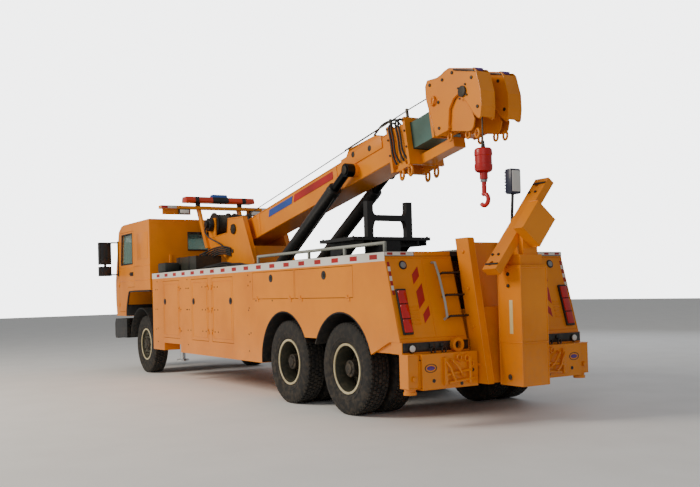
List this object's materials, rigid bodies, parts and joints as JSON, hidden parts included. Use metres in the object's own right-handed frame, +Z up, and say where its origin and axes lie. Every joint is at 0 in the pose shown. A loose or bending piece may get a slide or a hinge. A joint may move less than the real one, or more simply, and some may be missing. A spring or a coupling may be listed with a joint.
{
  "type": "heavy tow truck",
  "caption": "Heavy tow truck with a telescopic recovery boom, a rear underlift, jack legs and lockers along both sides.",
  "frame": {"origin": "on the ground, under the middle of the overall box", "axes": "+X forward, +Y left, +Z up"},
  "size_m": [10.685, 3.15, 3.8634],
  "materials": {
    "frame_black": "satin",
    "engine_grey": "rough",
    "cast_steel": "rough",
    "tyre": "matt",
    "rim_cream": "satin",
    "black_paint": "satin",
    "body_orange": "gloss",
    "glass_green": "clear",
    "black_plastic": "matt",
    "interior_grey": "matt",
    "deck_black": "textured",
    "rod_chrome": "polished",
    "rail_beige": "satin",
    "tank_grey": "satin",
    "winch_red": "satin",
    "lamp_red": "gloss",
    "boom_green": "satin",
    "hook_red": "satin"
  },
  "bodies": {
    "chassis": {"chassis_frame": "frame_black", "engine": "engine_grey", "front_axle": "frame_black", "rear_axles": "frame_black", "leaf_springs": "frame_black", "bumper": "black_paint", "side_body_left": "body_orange", "side_body_right": "body_orange", "deck": "deck_black", "rear_crossmember": "body_orange", "underrun_beam": "body_orange", "handrails": "rail_beige", "oil_tank": "tank_grey", "tower": "body_orange", "gantry": "body_orange", "light_bar": "lamp_red", "boom_rest": "black_paint", "underlift_mast": "body_orange"},
    "cab": {"cab_shell": "body_orange", "cab_glass": "glass_green", "mirrors": "black_plastic", "cab_interior": "interior_grey"},
    "cab_door_left": {"cab_door_left": "body_orange"},
    "cab_door_right": {"cab_door_right": "body_orange"},
    "knuckle_left": {"knuckle_left": "cast_steel"},
    "knuckle_right": {"knuckle_right": "cast_steel"},
    "front_wheel_left": {"front_tyre_left": "tyre", "front_rim_left": "rim_cream"},
    "front_wheel_right": {"front_tyre_right": "tyre", "front_rim_right": "rim_cream"},
    "mid_wheels_left": {"mid_wheels_left": "tyre"},
    "mid_wheels_right": {"mid_wheels_right": "tyre"},
    "rear_wheels_left": {"rear_wheels_left": "tyre"},
    "rear_wheels_right": {"rear_wheels_right": "tyre"},
    "boom": {"boom_outer": "body_orange"},
    "boom_tip": {"boom_inner": "boom_green", "boom_head": "body_orange"},
    "hook_block": {"hook_block": "hook_red"},
    "hook": {"hook": "hook_red"},
    "lift_barrels": {"lift_barrels": "black_paint"},
    "lift_rods": {"lift_rods": "rod_chrome"},
    "winch_drums": {"winch_drums": "winch_red"},
    "underlift_carriage": {"underlift_carriage": "body_orange"},
    "underlift_arm": {"underlift_arm": "body_orange"},
    "underlift_extension": {"underlift_extension": "body_orange"},
    "underlift_crossbar": {"underlift_crossbar": "body_orange"},
    "front_jacks": {"front_jacks": "rod_chrome"},
    "outrigger_beam_left": {"outrigger_beam_left": "body_orange"},
    "outrigger_beam_right": {"outrigger_beam_right": "body_orange"},
    "outrigger_leg_left": {"outrigger_leg_left": "rod_chrome"},
    "outrigger_leg_right": {"outrigger_leg_right": "rod_chrome"},
    "drop_doors_left": {"drop_doors_left": "body_orange"},
    "drop_doors_right": {"drop_doors_right": "body_orange"},
    "locker_door_left_1": {"locker_door_left_1": "body_orange"},
    "locker_door_left_2": {"locker_door_left_2": "body_orange"},
    "locker_door_left_3": {"locker_door_left_3": "body_orange"},
    "locker_door_right_1": {"locker_door_right_1": "body_orange"},
    "locker_door_right_2": {"locker_door_right_2": "body_orange"},
    "locker_door_right_3": {"locker_door_right_3": "body_orange"}
  },
  "joints": [
    {"name": "cab_tilt", "type": "hinge", "parent": "chassis", "child": "cab", "pos_m": [5.1425, 0, 1.015], "axis": [0, 1, 0], "range_deg": [0, 45]},
    {"name": "cab_door_left", "type": "hinge", "parent": "cab", "child": "cab_door_left", "pos_m": [4.9925, 1.251, 1.45], "axis": [0, 0, -1], "range_deg": [0, 70]},
    {"name": "cab_door_right", "type": "hinge", "parent": "cab", "child": "cab_door_right", "pos_m": [4.9925, -1.251, 1.45], "axis": [0, 0, 1], "range_deg": [0, 70]},
    {"name": "steering_left", "type": "hinge", "parent": "chassis", "child": "knuckle_left", "pos_m": [3.7675, 0.84, 0.525], "axis": [0, 0, 1], "range_deg": [-35, 35]},
    {"name": "steering_right", "type": "hinge", "parent": "chassis", "child": "knuckle_right", "pos_m": [3.7675, -0.84, 0.525], "axis": [0, 0, 1], "range_deg": [-35, 35]},
    {"name": "front_wheel_left", "type": "hinge", "parent": "knuckle_left", "child": "front_wheel_left", "pos_m": [3.7675, 1.015, 0.525], "axis": [0, 1, 0], "continuous": true},
    {"name": "front_wheel_right", "type": "hinge", "parent": "knuckle_right", "child": "front_wheel_right", "pos_m": [3.7675, -1.015, 0.525], "axis": [0, 1, 0], "continuous": true},
    {"name": "mid_wheels_left", "type": "hinge", "parent": "chassis", "child": "mid_wheels_left", "pos_m": [-2.0575, 0.915, 0.525], "axis": [0, 1, 0], "continuous": true},
    {"name": "mid_wheels_right", "type": "hinge", "parent": "chassis", "child": "mid_wheels_right", "pos_m": [-2.0575, -0.915, 0.525], "axis": [0, 1, 0], "continuous": true},
    {"name": "rear_wheels_left", "type": "hinge", "parent": "chassis", "child": "rear_wheels_left", "pos_m": [-3.4575, 0.915, 0.525], "axis": [0, 1, 0], "continuous": true},
    {"name": "rear_wheels_right", "type": "hinge", "parent": "chassis", "child": "rear_wheels_right", "pos_m": [-3.4575, -0.915, 0.525], "axis": [0, 1, 0], "continuous": true},
    {"name": "boom_lift", "type": "hinge", "parent": "chassis", "child": "boom", "pos_m": [1.4075, 0, 2.496], "axis": [0, 1, 0], "range_deg": [-7.8, 35]},
    {"name": "boom_extend", "type": "slide", "parent": "boom", "child": "boom_tip", "axis": [0.9848, 0, -0.1736], "range_m": [-1.5, 0.4]},
    {"name": "hook_swing", "type": "hinge", "parent": "boom_tip", "child": "hook_block", "pos_m": [-4.52753, 0.19, 3.55063], "axis": [0, -1, 0], "range_deg": [-10, 35]},
    {"name": "hook_swivel", "type": "hinge", "parent": "hook_block", "child": "hook", "pos_m": [-4.72653, 0.19, 2.64063], "axis": [0, 0, 1], "continuous": true},
    {"name": "lift_barrels_pitch", "type": "hinge", "parent": "chassis", "child": "lift_barrels", "pos_m": [0.5425, 0, 1.4], "axis": [0, 1, 0], "range_deg": [-12, 40]},
    {"name": "lift_rods_slide", "type": "slide", "parent": "lift_barrels", "child": "lift_rods", "axis": [-0.8628, 0, 0.5056], "range_m": [-0.25, 0.95]},
    {"name": "winch_drums_turn", "type": "hinge", "parent": "chassis", "child": "winch_drums", "pos_m": [2.3425, 0, 2.64], "axis": [0, 1, 0], "continuous": true},
    {"name": "locker_door_left_1", "type": "hinge", "parent": "chassis", "child": "locker_door_left_1", "pos_m": [1.6325, 1.281, 1.18], "axis": [0, 0, 1], "range_deg": [0, 100]},
    {"name": "locker_door_left_2", "type": "hinge", "parent": "chassis", "child": "locker_door_left_2", "pos_m": [0.4125, 1.281, 1.18], "axis": [0, 0, 1], "range_deg": [0, 100]},
    {"name": "locker_door_left_3", "type": "hinge", "parent": "chassis", "child": "locker_door_left_3", "pos_m": [0.2725, 1.281, 1.18], "axis": [0, 0, 1], "range_deg": [-100, 0]},
    {"name": "locker_door_right_1", "type": "hinge", "parent": "chassis", "child": "locker_door_right_1", "pos_m": [1.6325, -1.281, 1.18], "axis": [0, 0, -1], "range_deg": [0, 100]},
    {"name": "locker_door_right_2", "type": "hinge", "parent": "chassis", "child": "locker_door_right_2", "pos_m": [0.4125, -1.281, 1.18], "axis": [0, 0, -1], "range_deg": [0, 100]},
    {"name": "locker_door_right_3", "type": "hinge", "parent": "chassis", "child": "locker_door_right_3", "pos_m": [0.2725, -1.281, 1.18], "axis": [0, 0, -1], "range_deg": [-100, 0]},
    {"name": "drop_doors_left", "type": "hinge", "parent": "chassis", "child": "drop_doors_left", "pos_m": [-2.4575, 1.281, 1.33], "axis": [-1, 0, 0], "range_deg": [0, 90]},
    {"name": "drop_doors_right", "type": "hinge", "parent": "chassis", "child": "drop_doors_right", "pos_m": [-2.4575, -1.281, 1.33], "axis": [1, 0, 0], "range_deg": [0, 90]},
    {"name": "outrigger_beam_left", "type": "slide", "parent": "chassis", "child": "outrigger_beam_left", "axis": [0, 1, 0], "range_m": [0, 0.5]},
    {"name": "outrigger_leg_left", "type": "slide", "parent": "outrigger_beam_left", "child": "outrigger_leg_left", "axis": [0, 0, -1], "range_m": [0, 0.3]},
    {"name": "outrigger_beam_right", "type": "slide", "parent": "chassis", "child": "outrigger_beam_right", "axis": [0, -1, 0], "range_m": [0, 0.5]},
    {"name": "outrigger_leg_right", "type": "slide", "parent": "outrigger_beam_right", "child": "outrigger_leg_right", "axis": [0, 0, -1], "range_m": [0, 0.3]},
    {"name": "front_jacks_drop", "type": "slide", "parent": "chassis", "child": "front_jacks", "axis": [0, 0, -1], "range_m": [0, 0.32]},
    {"name": "underlift_lift", "type": "slide", "parent": "chassis", "child": "underlift_carriage", "axis": [0.1736, 0, 0.9848], "range_m": [0, 0.65]},
    {"name": "underlift_fold", "type": "hinge", "parent": "underlift_carriage", "child": "underlift_arm", "pos_m": [-5.0505, 0, 0.469], "axis": [0, -1, 0], "range_deg": [0, 90]},
    {"name": "underlift_extend", "type": "slide", "parent": "underlift_arm", "child": "underlift_extension", "axis": [0, 0, 1], "range_m": [0, 0.55]},
    {"name": "crossbar_swivel", "type": "hinge", "parent": "underlift_extension", "child": "underlift_crossbar", "pos_m": [-5.1705, 0, 2.05], "axis": [-1, 0, 0], "range_deg": [-102, 0]}
  ],
  "couplings": [
    {"joint": "steering_right", "follows": "steering_left", "ratio": 1},
    {"joint": "lift_barrels_pitch", "follows": "boom_lift", "ratio": 0.9645},
    {"joint": "lift_rods_slide", "follows": "boom_lift", "m_per_rad": 1.3609}
  ]
}
